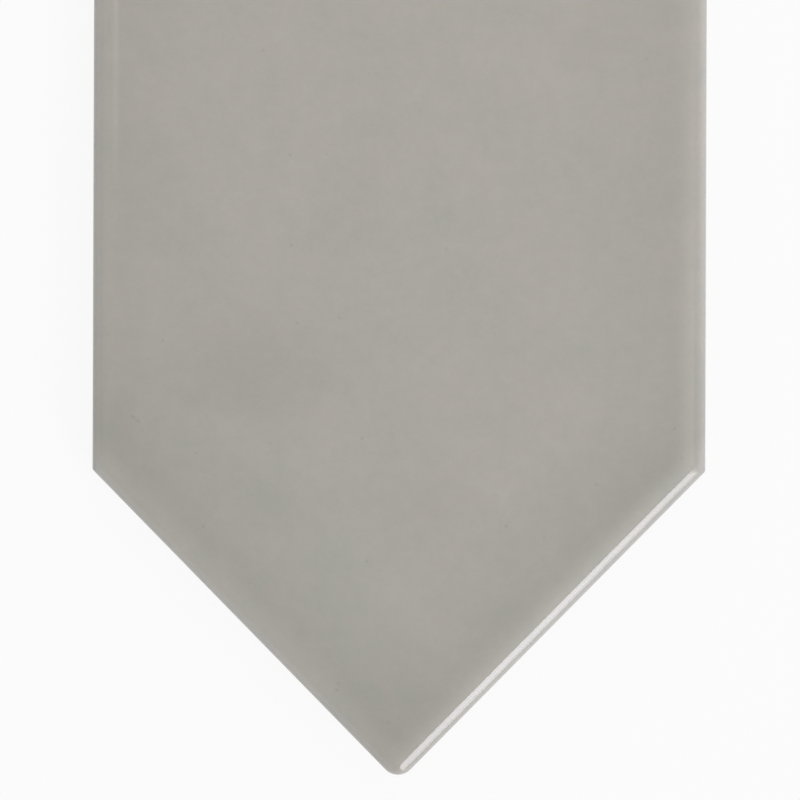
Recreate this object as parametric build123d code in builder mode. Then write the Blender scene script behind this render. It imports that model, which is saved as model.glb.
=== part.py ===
from build123d import *
from math import cos, hypot, radians, sin, tan
import os

# Overall size of the tile, in mm
tile_width = 75.0
tile_length = 300.0
tile_thickness = 8.0

# Outline: two parallel sides and a point at each end
point_angle = 89.0
tip_radius = 2.15
shoulder_radius = 0.5
corner_easing = 0.5

# Cushion edge around the glazed face: a long shallow arc that runs into a tight arris
cushion_width = 4.9
cushion_slope = 7.0
arris_radius = 1.8

# Sides, which draw in towards the back, and the chamfer round the back
back_taper = 0.15
back_chamfer = 0.6

# Keying relief pressed into the back: recesses between connected ribs, inside a plain land
cell_pitch = 11.5
rib_width = 2.2
recess_depth = 0.8
recess_draft = 30.0
land_width = 2.6
smallest_recess = 0.25

# How many sections carry each arc of the cushion edge
arris_sections = 8
cushion_sections = 5

# Plan of the outline
half_angle = radians(point_angle / 2)
half_width = tile_width / 2
sharp_tip = tile_length / 2 + tip_radius * (1 / sin(half_angle) - 1)

# Section of the edge, in which the two arcs meet at one slope
slope = radians(cushion_slope)
arris_inset = arris_radius * (1 - sin(slope))
cushion_radius = (cushion_width - arris_inset) / sin(slope)
cushion_drop = cushion_radius * (1 - cos(slope))
arris_foot = tile_thickness - cushion_drop - arris_radius * cos(slope)

# Grid of the back: an even number of rows each way, so a rib crossing lies at the middle
recess_side = cell_pitch - rib_width
land_inset = back_taper + back_chamfer + land_width
columns = 2 * int(half_width / cell_pitch + 1)
rows = 2 * int(tile_length / 2 / cell_pitch + 1)


def outline(inset):
    """Draw the tile's outline at an even distance inside its widest one."""
    tip = sharp_tip - inset / sin(half_angle)
    side = half_width - inset
    shoulder = tip - side / tan(half_angle)
    Polygon(
        (0, tip),
        (side, shoulder),
        (side, -shoulder),
        (0, -tip),
        (-side, -shoulder),
        (-side, shoulder),
    )
    # Corners keep the section of the edge at first, then grow rounder further in
    easing = corner_easing * inset
    corners = vertices()
    tips = corners.filter_by(lambda corner: abs(corner.X) < side / 2)
    shoulders = corners.filter_by(lambda corner: abs(corner.X) > side / 2)
    fillet(tips, hypot(tip_radius - inset, easing))
    fillet(shoulders, hypot(shoulder_radius - inset, easing))


# Recesses of the back, trimmed to the land
with BuildSketch(Plane.XY) as land_edge:
    outline(land_inset)

with BuildSketch(Plane.XY) as keying:
    with GridLocations(cell_pitch, cell_pitch, columns, rows):
        Rectangle(recess_side, recess_side)
    add(land_edge.sketch, mode=Mode.INTERSECT)

least_area = smallest_recess * recess_side**2
recesses = keying.faces().filter_by(lambda face: face.area > least_area)

with BuildPart() as tile:
    # Sides, from the chamfered back edge up to the foot of the arris
    with BuildSketch(Plane.XY):
        outline(back_taper + back_chamfer)
    with BuildSketch(Plane.XY.offset(back_chamfer)):
        outline(back_taper)
    with BuildSketch(Plane.XY.offset(arris_foot)):
        outline(0)
    loft(ruled=True)

    # Arris, from upright at its foot to the slope where the cushion takes over
    for step in range(arris_sections + 1):
        lean = radians(90) + (slope - radians(90)) * step / arris_sections
        height = arris_foot + arris_radius * cos(lean)
        with BuildSketch(Plane.XY.offset(height)):
            outline(arris_radius * (1 - sin(lean)))
    loft()

    # Cushion, up to the flat of the glazed face
    for step in range(cushion_sections + 1):
        lean = slope * (1 - step / cushion_sections)
        height = tile_thickness - cushion_radius * (1 - cos(lean))
        with BuildSketch(Plane.XY.offset(height)):
            outline(cushion_width - cushion_radius * sin(lean))
    loft()

    # Keying relief
    extrude(recesses, amount=recess_depth, taper=recess_draft, mode=Mode.SUBTRACT)

tile.part.label = "tile"

os.makedirs("parts", exist_ok=True)
export_step(tile.part, "parts/tile.step")
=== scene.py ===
from math import cos, hypot, pi, radians, sin, tan

import bmesh
import bpy
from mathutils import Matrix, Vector


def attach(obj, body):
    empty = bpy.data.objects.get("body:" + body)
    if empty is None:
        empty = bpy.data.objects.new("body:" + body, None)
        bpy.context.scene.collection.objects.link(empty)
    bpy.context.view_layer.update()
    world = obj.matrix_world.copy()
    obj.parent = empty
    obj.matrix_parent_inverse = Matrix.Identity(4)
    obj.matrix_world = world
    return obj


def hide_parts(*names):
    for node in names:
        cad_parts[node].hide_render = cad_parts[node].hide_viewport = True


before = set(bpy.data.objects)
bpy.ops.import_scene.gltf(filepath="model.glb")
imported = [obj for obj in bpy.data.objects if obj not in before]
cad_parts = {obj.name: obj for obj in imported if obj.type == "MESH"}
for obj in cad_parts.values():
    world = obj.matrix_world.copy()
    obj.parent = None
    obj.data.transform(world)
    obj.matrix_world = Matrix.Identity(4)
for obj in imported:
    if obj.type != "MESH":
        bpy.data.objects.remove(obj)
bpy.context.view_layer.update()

MM = 0.001

# Sizes of the tile, as in the part's source
HALF_WIDTH = 37.5 * MM
HALF_LENGTH = 150 * MM
THICKNESS = 8 * MM
HALF_ANGLE = radians(89) / 2
TIP_RADIUS = 2.15 * MM
SHOULDER_RADIUS = 0.5 * MM
CUSHION_WIDTH = 4.9 * MM
CUSHION_SLOPE = radians(7)
ARRIS_RADIUS = 1.8 * MM
BACK_TAPER = 0.15 * MM
BACK_CHAMFER = 0.6 * MM
CELL_PITCH = 11.5 * MM
RIB_WIDTH = 2.2 * MM
RECESS_DEPTH = 0.8 * MM
RECESS_DRAFT = radians(30)
LAND_WIDTH = 2.6 * MM
SMALLEST_RECESS = 0.25

# What follows from them
SHARP_TIP = HALF_LENGTH + TIP_RADIUS * (1 / sin(HALF_ANGLE) - 1)
ARRIS_INSET = ARRIS_RADIUS * (1 - sin(CUSHION_SLOPE))
CUSHION_RADIUS = (CUSHION_WIDTH - ARRIS_INSET) / sin(CUSHION_SLOPE)
CUSHION_DROP = CUSHION_RADIUS * (1 - cos(CUSHION_SLOPE))
ARRIS_FOOT = THICKNESS - CUSHION_DROP - ARRIS_RADIUS * cos(CUSHION_SLOPE)
LAND_INSET = BACK_TAPER + BACK_CHAMFER + LAND_WIDTH

# Corners close up over this reach of the edge. Further in they grow rounder, by these shares of
# the inset, up to the widest, which is a share of the half width there.
CORNER_REACH = 1.15 * MM
TIP_EASING = 0.45
SHOULDER_EASING = 2.4
WIDEST_CORNER = 0.15

# How finely the outline is divided
TIP_SEGMENTS = 12
SHOULDER_SEGMENTS = 6
SIDE_CUTS = 89
SLANT_CUTS = 19

# The glaze ends on the sides at an uneven line, where it stands proud of the bare clay
GLAZE_LINE = 2.9 * MM
GLAZE_THICKNESS = 0.1 * MM
LIP_HEIGHT = 0.3 * MM
LIP_UNEVENNESS = 0.9 * MM
LIP_WAVE = 11 * MM

# The visible tile stays this far inside the solid's outline
RIM = 0.02 * MM

# Faces that meet at less than this angle are shaded as one surface
SMOOTH_ANGLE = radians(24)

# Colours
COOL_GREY = (0.3135, 0.3065, 0.2695, 1)
WARM_GREY = (0.321, 0.3055, 0.2685, 1)
MARK_BROWN = (0.12, 0.105, 0.08, 1)
DARK_CLAY = (0.60, 0.52, 0.42, 1)
PALE_CLAY = (0.70, 0.63, 0.53, 1)
WHITE = (1, 1, 1)
BLUISH_WHITE = (0.97, 0.97, 1.05)


# Selecting
def pick(kind, test):
    """Selects the vertices, edges or faces that pass the test, and nothing else."""
    data = bpy.context.object.data
    modes = [kind == mode for mode in ("verts", "edges", "faces")]
    bpy.context.tool_settings.mesh_select_mode = modes
    bpy.ops.mesh.select_all(action="DESELECT")
    mesh = bmesh.from_edit_mesh(data)
    for item in getattr(mesh, kind):
        if test(item):
            item.select_set(True)
    mesh.select_flush_mode()
    bmesh.update_edit_mesh(data)


def is_open(edge):
    return edge.is_wire or edge.is_boundary


def inset_of(place):
    """How far a place lies inside the outline, whose corners count as sharp here."""
    slanted = (SHARP_TIP - abs(place.y)) * sin(HALF_ANGLE) - abs(place.x) * cos(HALF_ANGLE)
    return min(HALF_WIDTH - abs(place.x), slanted)


def runs_along(edge, dx, dy):
    """Tells whether a loose edge runs in a direction, or in its mirror image."""
    if not edge.is_wire:
        return False
    step = edge.verts[1].co - edge.verts[0].co
    length = hypot(step.x, step.y)
    off = max(abs(abs(step.x) / length - dx), abs(abs(step.y) / length - dy))
    return off < 0.01


# Shape of the tile, ring by ring
def add_ring(inset, height):
    """Adds the tile's outline, drawn in by the inset, as a loose ring of edges."""
    side = HALF_WIDTH - RIM - inset
    tip = SHARP_TIP - (RIM + inset) / sin(HALF_ANGLE)
    bpy.ops.mesh.select_all(action="DESELECT")
    bpy.ops.mesh.primitive_circle_add(
        vertices=6, radius=side / cos(pi / 6), fill_type="NOTHING", location=(0, 0, height)
    )
    # Stretched until its points have their angle, then drawn apart to the tile's length
    stretch = 2 * cos(pi / 6) / tan(HALF_ANGLE)
    bpy.ops.transform.resize(value=(1, stretch, 1), center_override=(0, 0, height))
    for end in (1, -1):
        pick("verts", lambda v: v.is_wire and v.co.y * end > 0)
        bpy.ops.transform.translate(value=(0, end * (tip - 2 * side / tan(HALF_ANGLE)), 0))
    # Points and shoulders rounded
    closing = max(1 - inset / CORNER_REACH, 0)
    tip_radius, shoulder_radius = (
        min(hypot(radius * closing, easing * inset), WIDEST_CORNER * side)
        for radius, easing in ((TIP_RADIUS, TIP_EASING), (SHOULDER_RADIUS, SHOULDER_EASING))
    )
    pick("verts", lambda v: v.is_wire and abs(v.co.x) < side / 2)
    bpy.ops.mesh.bevel(
        affect="VERTICES", offset=tip_radius / tan(HALF_ANGLE), segments=TIP_SEGMENTS, profile=0.5
    )
    pick("verts", lambda v: v.is_wire and abs(v.co.x) > 0.9999 * side)
    bpy.ops.mesh.bevel(
        affect="VERTICES", offset=shoulder_radius * tan(HALF_ANGLE / 2),
        segments=SHOULDER_SEGMENTS, profile=0.5,
    )
    # Sides and slanted edges divided evenly
    pick("edges", lambda e: runs_along(e, 0, 1))
    bpy.ops.mesh.subdivide(number_cuts=SIDE_CUTS)
    pick("edges", lambda e: runs_along(e, sin(HALF_ANGLE), cos(HALF_ANGLE)))
    bpy.ops.mesh.subdivide(number_cuts=SLANT_CUTS)


def next_ring(inset, height):
    """Adds a ring and bridges the open edge of the tile to it."""
    # Bridged while it is held well above the last one, so that the two meet the right way round
    lift = 5 * MM
    add_ring(inset, height + lift)
    pick("edges", is_open)
    bpy.ops.mesh.bridge_edge_loops()
    pick("edges", is_open)
    bpy.ops.transform.translate(value=(0, 0, -lift))


def side_inset(height):
    """The sides draw in towards the back."""
    return BACK_TAPER * (ARRIS_FOOT - height) / (ARRIS_FOOT - BACK_CHAMFER)


def shape_back():
    """The land round the back, as a flat face that the keying relief is cut into later."""
    add_ring(LAND_INSET, 0)
    pick("edges", is_open)
    bpy.ops.mesh.edge_face_add()
    next_ring(BACK_TAPER + BACK_CHAMFER, 0)


def shape_sides():
    """The bare clay of the lower sides, and the glaze that ends on it in a rounded lip."""
    # The chamfer round the back, with one ring that rounds it a little
    next_ring(BACK_TAPER + 0.35 * BACK_CHAMFER + GLAZE_THICKNESS, 0.45 * BACK_CHAMFER)
    next_ring(BACK_TAPER + GLAZE_THICKNESS, BACK_CHAMFER)
    for height in (1.6 * MM, 2.3 * MM, GLAZE_LINE):
        next_ring(side_inset(height) + GLAZE_THICKNESS, height)
    # The lip, from its foot on the clay to the full thickness of the glaze
    for rise, proud in ((0.1, 0.55), (0.4, 0.9), (1, 1)):
        height = GLAZE_LINE + rise * LIP_HEIGHT
        next_ring(side_inset(height) + GLAZE_THICKNESS * (1 - proud), height)
    # The glazed part of the sides, up to the foot of the arris
    for share in (0.35, 0.7):
        height = GLAZE_LINE + share * (ARRIS_FOOT - GLAZE_LINE)
        next_ring(side_inset(height), height)


def shape_arris(steps=16):
    """The tight arc of the edge, from upright at its foot to the slope of the cushion."""
    for step in range(steps + 1):
        lean = pi / 2 + (CUSHION_SLOPE - pi / 2) * step / steps
        next_ring(ARRIS_RADIUS * (1 - sin(lean)), ARRIS_FOOT + ARRIS_RADIUS * cos(lean))


def shape_cushion(steps=8):
    """The long shallow arc that runs into the flat of the face."""
    for step in range(1, steps + 1):
        lean = CUSHION_SLOPE * (1 - step / steps)
        drop = CUSHION_RADIUS * (1 - cos(lean))
        next_ring(CUSHION_WIDTH - CUSHION_RADIUS * sin(lean), THICKNESS - drop)


def shape_face(steps=12):
    """The flat of the face, in rings that close on the tile's middle line."""
    innermost = HALF_WIDTH - 3 * MM
    for step in range(1, steps + 1):
        next_ring(CUSHION_WIDTH + (innermost - CUSHION_WIDTH) * step / steps, THICKNESS)
    pick("edges", is_open)
    bpy.ops.mesh.extrude_edges_move()
    bpy.ops.transform.resize(value=(0, 1, 1), center_override=(0, 0, THICKNESS))
    bpy.ops.mesh.select_all(action="SELECT")
    bpy.ops.mesh.remove_doubles(threshold=0.001 * MM)
    bpy.ops.mesh.normals_make_consistent(inside=False)


def in_recess(face):
    """Tells whether a face of the back is one that a recess is pressed into."""
    middle = face.calc_center_bounds()
    side = CELL_PITCH - RIB_WIDTH
    across = abs(middle.x) % CELL_PITCH - CELL_PITCH / 2
    along = abs(middle.y) % CELL_PITCH - CELL_PITCH / 2
    inside = abs(across) < side / 2 and abs(along) < side / 2
    return inside and face.calc_area() > SMALLEST_RECESS * side**2


def on_back(face):
    """Tells whether a face lies on the back, inside its land."""
    level = face.normal.z < -0.9 and face.calc_center_median().z < 0.01 * MM
    return level and inset_of(face.calc_center_bounds()) > LAND_INSET


def cut_keying_relief():
    """Cuts the back along both sides of every rib, then presses the recesses in."""
    for reach, normal in ((HALF_WIDTH, (1, 0, 0)), (HALF_LENGTH, (0, 1, 0))):
        for crossing in range(-int(reach / CELL_PITCH) - 1, int(reach / CELL_PITCH) + 2):
            for edge in (-RIB_WIDTH / 2, RIB_WIDTH / 2):
                place = crossing * CELL_PITCH + edge
                if abs(place) > reach - LAND_INSET:
                    continue
                pick("faces", on_back)
                bpy.ops.mesh.bisect(plane_co=[place * n for n in normal], plane_no=normal)
    pick("faces", lambda f: on_back(f) and in_recess(f))
    bpy.ops.mesh.inset(
        thickness=RECESS_DEPTH * tan(RECESS_DRAFT), depth=-RECESS_DEPTH, use_individual=True
    )


def ripple_glaze_line(tile):
    """Lets the lip of the glaze run higher and lower along the sides."""
    middle = GLAZE_LINE + LIP_HEIGHT / 2
    bpy.ops.object.mode_set(mode="EDIT")
    pick("verts", lambda v: abs(v.co.z - middle) < LIP_HEIGHT / 2 + 0.01 * MM)
    bpy.ops.object.vertex_group_assign_new()
    bpy.ops.mesh.select_all(action="DESELECT")
    bpy.ops.object.mode_set(mode="OBJECT")
    bpy.ops.object.modifier_add(type="DISPLACE")
    ripple = tile.modifiers[-1]
    ripple.texture = bpy.data.textures.new("glaze_runs", "CLOUDS")
    ripple.texture.noise_scale = LIP_WAVE
    ripple.direction = "Z"
    ripple.strength = LIP_UNEVENNESS
    ripple.vertex_group = tile.vertex_groups[0].name
    bpy.ops.object.modifier_apply(modifier=ripple.name)
    tile.vertex_groups.clear()


def make_tile():
    """The whole tile as one mesh, glazed above the glaze line and bare clay below it."""
    bpy.ops.object.select_all(action="DESELECT")
    bpy.ops.object.add(type="MESH")
    tile = bpy.context.object
    tile.name = tile.data.name = "picket_tile"
    bpy.ops.object.mode_set(mode="EDIT")
    shape_back()
    shape_sides()
    shape_arris()
    shape_cushion()
    shape_face()
    cut_keying_relief()
    pick("faces", lambda f: f.calc_center_median().z < GLAZE_LINE + 0.01 * MM)
    bpy.ops.object.mode_set(mode="OBJECT")
    for material in (grey_glaze(), fired_clay()):
        tile.data.materials.append(material)
    for face in tile.data.polygons:
        face.material_index = int(face.select)
    ripple_glaze_line(tile)
    bpy.ops.object.shade_smooth_by_angle(angle=SMOOTH_ANGLE)
    return tile


# Materials
def node(tree, kind, inputs=None, **settings):
    """Adds a shader node. Its inputs take values, or sockets to link."""
    made = tree.nodes.new("ShaderNode" + kind)
    for name, value in settings.items():
        setattr(made, name, value)
    for name, value in (inputs or {}).items():
        if isinstance(value, bpy.types.NodeSocket):
            tree.links.new(value, made.inputs[name])
        else:
            made.inputs[name].default_value = value
    return made


def maths(tree, operation, *values, clamp=False):
    return node(
        tree, "Math", dict(enumerate(values)), operation=operation, use_clamp=clamp
    ).outputs[0]


def ramp(tree, value, stops, interpolation="LINEAR"):
    """A grey or coloured ramp. Stops are pairs of a place from 0 to 1 and a level or colour."""
    made = node(tree, "ValToRGB", {"Fac": value})
    made.color_ramp.interpolation = interpolation
    elements = made.color_ramp.elements
    while len(elements) < len(stops):
        elements.new(0.5)
    for element, (place, level) in zip(elements, stops):
        element.position = place
        element.color = (*level, 1) if isinstance(level, tuple) else (level, level, level, 1)
    return made.outputs["Color"]


def mix(tree, kind, factor, first, second, blend="MIX"):
    """Mixes two colours or two numbers."""
    made = node(tree, "Mix", data_type=kind, blend_type=blend, clamp_factor=True)
    sockets = [i for i in made.inputs if i.enabled]
    for socket, value in zip(sockets, (factor, first, second)):
        if isinstance(value, bpy.types.NodeSocket):
            tree.links.new(value, socket)
        else:
            socket.default_value = value
    return next(o for o in made.outputs if o.enabled)


def falling(tree, value, reach, curve):
    """1 at the value 0, which falls to 0 at the reach."""
    return node(
        tree, "MapRange", {"Value": value, "From Max": reach, "To Min": 1.0, "To Max": 0.0},
        interpolation_type=curve,
    ).outputs[0]


def bumped(tree, height, depth, before=None, **settings):
    """Adds a bump of a depth in mm, on top of the one before."""
    inputs = {"Height": height, "Distance": depth * MM, "Strength": 1.0}
    if before:
        inputs["Normal"] = before
    return node(tree, "Bump", inputs, **settings).outputs["Normal"]


def in_sight(tree):
    """1 for rays that the eye follows, straight or mirrored, and 0 for those that only light."""
    path = node(tree, "LightPath").outputs
    return maths(
        tree, "MAXIMUM", path["Is Camera Ray"],
        maths(tree, "MAXIMUM", path["Is Glossy Ray"], path["Is Transmission Ray"]),
    )


def new_material(name):
    material = bpy.data.materials.new(name)
    material.use_nodes = True
    material.node_tree.nodes.clear()
    return material, material.node_tree


def edge_distances(tree, place):
    """How far a place lies inside the nearer side, and inside both slanted edges of its point."""
    xyz = node(tree, "SeparateXYZ", {"Vector": place})
    x = maths(tree, "ABSOLUTE", xyz.outputs["X"])
    y = maths(tree, "ABSOLUTE", xyz.outputs["Y"])
    across = maths(tree, "MULTIPLY", x, cos(HALF_ANGLE))
    middle = maths(tree, "MULTIPLY", maths(tree, "SUBTRACT", SHARP_TIP, y), sin(HALF_ANGLE))
    return (
        maths(tree, "SUBTRACT", HALF_WIDTH, x),
        maths(tree, "SUBTRACT", middle, across),
        maths(tree, "ADD", middle, across),
    )


def spot(tree, place, x, y, length, width, turn=0):
    """A soft patch, 1 in its middle and 0 at its rim. Its place and size are in mm."""
    moved = node(
        tree, "Mapping",
        {
            "Vector": place, "Location": (x * MM, y * MM, 0), "Rotation": (0, 0, radians(turn)),
            "Scale": (length / 2 * MM, width / 2 * MM, 1),
        },
        vector_type="TEXTURE",
    )
    reach = node(tree, "VectorMath", {0: moved.outputs[0]}, operation="LENGTH").outputs["Value"]
    return falling(tree, reach, 1.0, "SMOOTHERSTEP")


def glaze_clouds(tree, place):
    """Fine mottling and a few broad, faint clouds, as a tone around 1, with the mottling alone."""
    patches = node(
        tree, "TexNoise", {"Vector": place, "Scale": 90, "Detail": 6, "Roughness": 0.95}
    ).outputs["Fac"]
    tone = maths(tree, "MULTIPLY_ADD", patches, 0.28, 0.86)
    for x, y, length, width, turn, depth in (
        (-18, -101, 36, 28, 0, 0.075),
        (3, -121, 20, 16, 0, 0.03),
        (-14, -117, 18, 15, 0, 0.035),
        (-5, -80, 34, 13, 73, 0.018),
        (2, -116, 30, 11, 0, 0.03),
        (-22, -113, 14, 14, 0, 0.035),
        (23, -60, 15, 15, 0, 0.03),
        (31, -104, 12, 24, 0, -0.04),
    ):
        cloud = spot(tree, place, x, y, length, width, turn)
        tone = maths(tree, "MULTIPLY_ADD", cloud, -depth, tone)
    return tone, patches


def glaze_marks(tree, place):
    """Small marks fired into the glaze, and sparse pinholes: 0 on clean glaze, 1 in a dark mark."""
    marks = 0
    for x, y, length, width, turn, depth in (
        (-32.4, -106.3, 1.1, 0.8, -30, 0.9),
        (-31.8, -106.8, 1.3, 0.6, -42, 0.8),
        (-7.3, -138.7, 0.7, 0.6, 60, 0.8),
        (-7.5, -139.5, 0.7, 0.6, 60, 0.8),
        (13.1, -119.5, 0.7, 0.55, 0, 1.0),
        (24.1, -114.4, 0.75, 0.6, 20, 0.7),
        (-3.9, -123.8, 0.8, 0.6, -15, 0.8),
        (-18.2, -126.5, 0.9, 0.45, 5, 0.6),
        (34.4, -111.1, 0.75, 0.7, 0, 0.7),
    ):
        mark = spot(tree, place, x, y, length, width, turn)
        marks = maths(tree, "MULTIPLY_ADD", mark, depth, marks)
    cells = node(tree, "TexVoronoi", {"Vector": place, "Scale": 85}, voronoi_dimensions="2D")
    pinhole = falling(tree, cells.outputs["Distance"], 0.026, "SMOOTHERSTEP")
    kept = ramp(tree, cells.outputs["Color"], ((0.4, 0), (0.7, 0.8)))
    return maths(tree, "MULTIPLY_ADD", pinhole, kept, marks)


def grey_glaze():
    """Glossy warm grey glaze, pale over the arris partly because it runs thin there and partly from
    a painted sheen standing in for the edge's reflections, pooled darker just inside of it.
    """
    thin_and_sheen_width, runs_width, pool_width = 1.6 * MM, 1.2 * MM, 16 * MM
    material, tree = new_material("grey_glaze")
    place = node(tree, "TexCoord").outputs["Object"]
    side, near, far = edge_distances(tree, place)
    inset = maths(tree, "SMOOTH_MIN", side, near, 1.5 * MM)
    # Paler and cooler towards the outline: partly the glaze running thin over the arris, partly a
    # painted sheen standing in for the reflections on the edge, tinted like the lamps that make
    # them
    thin_and_painted_sheen = ramp(
        tree, maths(tree, "DIVIDE", inset, thin_and_sheen_width, clamp=True),
        (
            (0, (1.175, 1.195, 1.275)), (0.25, (1.203, 1.202, 1.248)),
            (0.37, (1.172, 1.171, 1.208)), (0.5, (1.103, 1.102, 1.124)),
            (0.7, (1.05, 1.047, 1.05)), (1, 1.0),
        ),
    )
    tone, patches = glaze_clouds(tree, place)
    hue = mix(
        tree, "RGBA", ramp(tree, patches, ((0.42, 0), (0.5, 1.0))), COOL_GREY, WARM_GREY
    )
    colour = mix(tree, "RGBA", 1.0, hue, tone, "MULTIPLY")
    colour = mix(tree, "RGBA", 1.0, colour, thin_and_painted_sheen, "MULTIPLY")
    for distance, depth in ((side, 0.55), (near, 1.0), (far, 0.95)):
        pool = ramp(
            tree, maths(tree, "DIVIDE", distance, pool_width, clamp=True),
            (
                (0.085, 1.0), (0.12, 0.993), (0.18, 0.948), (0.235, 0.916), (0.29, 0.909),
                (0.4, 0.928), (0.56, 0.954), (1, 1.0),
            ),
        )
        colour = mix(tree, "RGBA", depth, colour, pool, "MULTIPLY")
    marks = glaze_marks(tree, place)
    depth = maths(tree, "MULTIPLY", marks, 0.22, clamp=True)
    colour = mix(tree, "RGBA", depth, colour, MARK_BROWN)

    # Skin: a long swell, a faint ripple, runs where the glaze is thin, and a dent at each mark
    swell = node(tree, "TexNoise", {"Vector": place, "Scale": 28, "Detail": 1, "Roughness": 0.4})
    skin = node(tree, "TexNoise", {"Vector": place, "Scale": 420, "Detail": 2, "Roughness": 0.5})
    runs = node(tree, "TexNoise", {"Vector": place, "Scale": 260, "Detail": 1, "Roughness": 0.4})
    share = maths(tree, "DIVIDE", inset, runs_width, clamp=True)
    foot = ramp(tree, share, ((0, 1.0), (1, 0)), "EASE")
    bump = bumped(tree, swell.outputs["Fac"], 0.07)
    bump = bumped(tree, skin.outputs["Fac"], 0.003, bump)
    bump = bumped(tree, maths(tree, "MULTIPLY", runs.outputs["Fac"], foot), 0.055, bump)
    bump = bumped(tree, marks, 0.01, bump, invert=True)
    roughness = maths(tree, "MULTIPLY_ADD", patches, 0.03, 0.05)
    shader = node(
        tree, "BsdfPrincipled",
        {"Base Color": colour, "Roughness": roughness, "IOR": 1.5, "Normal": bump},
    )
    node(tree, "OutputMaterial", {"Surface": shader.outputs[0]})
    return material


def fired_clay():
    """Bare off-white clay of the back and lower sides, matt and finely grained."""
    material, tree = new_material("fired_clay")
    place = node(tree, "TexCoord").outputs["Object"]
    grain = node(tree, "TexNoise", {"Vector": place, "Scale": 1500, "Detail": 4, "Roughness": 0.65})
    patches = node(tree, "TexNoise", {"Vector": place, "Scale": 60, "Detail": 3, "Roughness": 0.6})
    speckle = ramp(tree, grain.outputs["Fac"], ((0.3, 0), (0.7, 1.0)))
    colour = mix(tree, "RGBA", speckle, DARK_CLAY, PALE_CLAY)
    tone = maths(tree, "MULTIPLY_ADD", patches.outputs["Fac"], 0.16, 0.92)
    colour = mix(tree, "RGBA", 1.0, colour, tone, "MULTIPLY")
    shader = node(
        tree, "BsdfPrincipled",
        {
            "Base Color": colour,
            "Roughness": maths(tree, "MULTIPLY_ADD", grain.outputs["Fac"], 0.15, 0.78),
            "Normal": bumped(tree, grain.outputs["Fac"], 0.04),
        },
    )
    node(tree, "OutputMaterial", {"Surface": shader.outputs[0]})
    return material


def pale_floor():
    """White paper, which looks a little brighter to the eye than to the light that falls on it."""
    material, tree = new_material("pale_floor")
    paper = node(tree, "BsdfDiffuse", {"Color": (0.8, 0.8, 0.8, 1)})
    glow = node(tree, "Emission", {"Color": (0.969, 0.969, 0.969, 1), "Strength": 1.0})
    seen = node(tree, "MixShader", {"Fac": 0.94, 1: paper.outputs[0], 2: glow.outputs[0]})
    shader = node(
        tree, "MixShader", {"Fac": in_sight(tree), 1: paper.outputs[0], 2: seen.outputs[0]}
    )
    node(tree, "OutputMaterial", {"Surface": shader.outputs[0]})
    return material


# Studio
def make_floor():
    """A floor far wider than the tile, at the level of its back."""
    bpy.ops.mesh.primitive_plane_add(size=12, location=(0, 0, 0))
    floor = bpy.context.object
    floor.name = "floor"
    floor.data.materials.append(pale_floor())


def fade_lamp(lamp, directions):
    """Lets a lamp fade out towards its rim, across it (X), along it (Y) or both."""
    lamp.data.use_nodes = True
    tree = lamp.data.node_tree
    tree.nodes.clear()
    place = node(tree, "NewGeometry").outputs["Parametric"]
    xyz = node(tree, "SeparateXYZ", {"Vector": place})
    level = 1.0
    for direction in directions:
        share = xyz.outputs[direction]
        reach = maths(tree, "ABSOLUTE", maths(tree, "SUBTRACT", share, 0.5))
        level = maths(tree, "MULTIPLY", falling(tree, reach, 0.5, "SMOOTHSTEP"), level)
    shine = node(tree, "Emission", {"Strength": level})
    node(tree, "OutputLight", {"Surface": shine.outputs[0]})


def softbox(
    name, width, height, azimuth, elevation, distance, strength,
    colour=WHITE, aim=-0.1, fading="",
):
    """A rectangular lamp that faces a place on the tile's middle line. Strength 1 is white."""
    middle = Vector((0, aim, THICKNESS))
    azimuth, elevation = radians(azimuth), radians(elevation)
    ray = Vector((cos(elevation) * cos(azimuth), cos(elevation) * sin(azimuth), sin(elevation)))
    bpy.ops.object.light_add(type="AREA", location=middle + distance * ray)
    lamp = bpy.context.object
    lamp.name = lamp.data.name = name
    lamp.data.shape = "RECTANGLE"
    lamp.data.size, lamp.data.size_y = width, height
    lamp.data.energy = strength * pi * width * height
    lamp.data.color = colour
    lamp.rotation_euler = ray.to_track_quat("Z", "Y").to_euler()
    lamp.visible_camera = False
    if fading:
        fade_lamp(lamp, fading)


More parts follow.
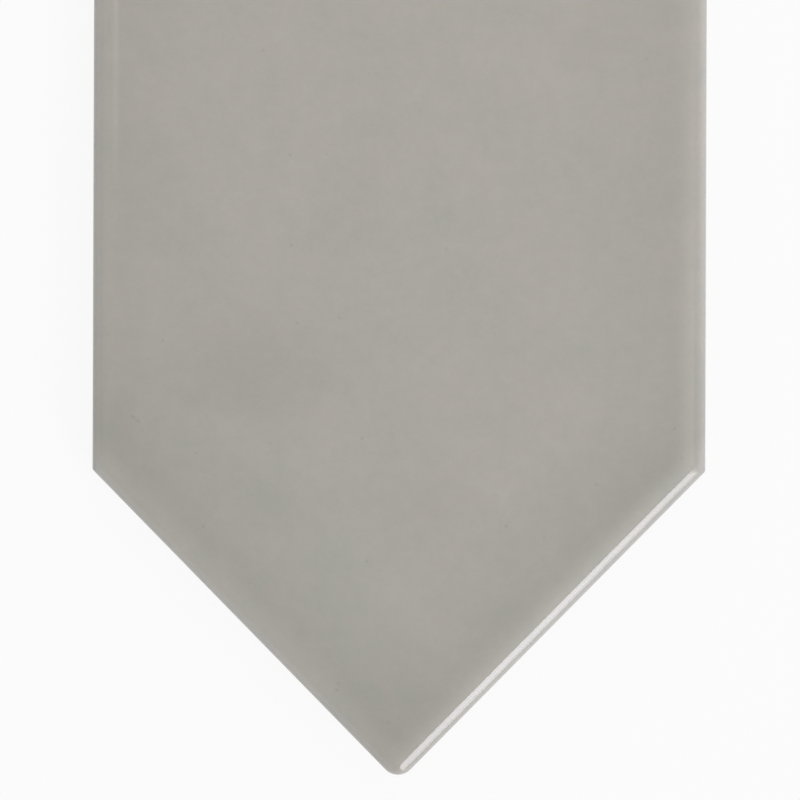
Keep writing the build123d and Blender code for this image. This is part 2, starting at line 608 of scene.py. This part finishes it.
def light_studio():
    """Soft even light, and the lamps whose mirror images make the pale lines on the edge."""
    world = bpy.data.worlds.new("studio")
    bpy.context.scene.world = world
    world.use_nodes = True
    tree = world.node_tree
    tree.nodes.clear()
    light = node(tree, "Background", {"Color": (1, 1, 1, 1), "Strength": 0.62})
    backdrop = node(tree, "Background", {"Color": (0.965, 0.965, 0.965, 1), "Strength": 1.0})
    both = node(
        tree, "MixShader", {"Fac": in_sight(tree), 1: light.outputs[0], 2: backdrop.outputs[0]}
    )
    node(tree, "OutputWorld", {"Surface": both.outputs[0]})
    softbox(
        "key_softbox", 0.62, 0.62, azimuth=70, elevation=45, distance=0.45, strength=2.08,
        fading="XY",
    )
    softbox(
        "side_strip", 0.8, 1.38, azimuth=-47.5, elevation=32.5, distance=1.4, strength=4.9,
        colour=BLUISH_WHITE, fading="X",
    )
    softbox(
        "strip_top", 0.92, 0.88, azimuth=-43, elevation=41.5, distance=1.4, strength=3.4,
        colour=BLUISH_WHITE, fading="X",
    )
    softbox(
        "overhead_fill", 0.8, 0.4, azimuth=-20, elevation=70, distance=1.03, strength=1.4,
        fading="XY",
    )
    softbox("low_fill", 1.2, 0.4, azimuth=200, elevation=20, distance=0.8, strength=0.3)
    softbox(
        "slit", 0.2, 0.09, azimuth=180, elevation=75.7, distance=1.036, strength=0.95, aim=0.033,
        fading="XY",
    )


def place_camera():
    """Straight above the near point, as in the photograph."""
    frame_width = 97.81 * MM
    outline_height = 6.2 * MM
    turn = radians(0.185)
    bpy.ops.object.camera_add()
    camera = bpy.context.object
    camera.data.lens = 200
    camera.data.sensor_width = 36
    distance = frame_width * camera.data.lens / camera.data.sensor_width
    camera.location = (0.11 * MM, -104.13 * MM, outline_height + distance)
    camera.rotation_euler = (0, 0, turn)
    camera.data.clip_start = 0.01
    camera.data.clip_end = 20
    bpy.context.scene.camera = camera


tile = make_tile()
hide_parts("tile")
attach(tile, "root")
make_floor()
light_studio()
place_camera()
bpy.context.scene.view_settings.view_transform = "Standard"
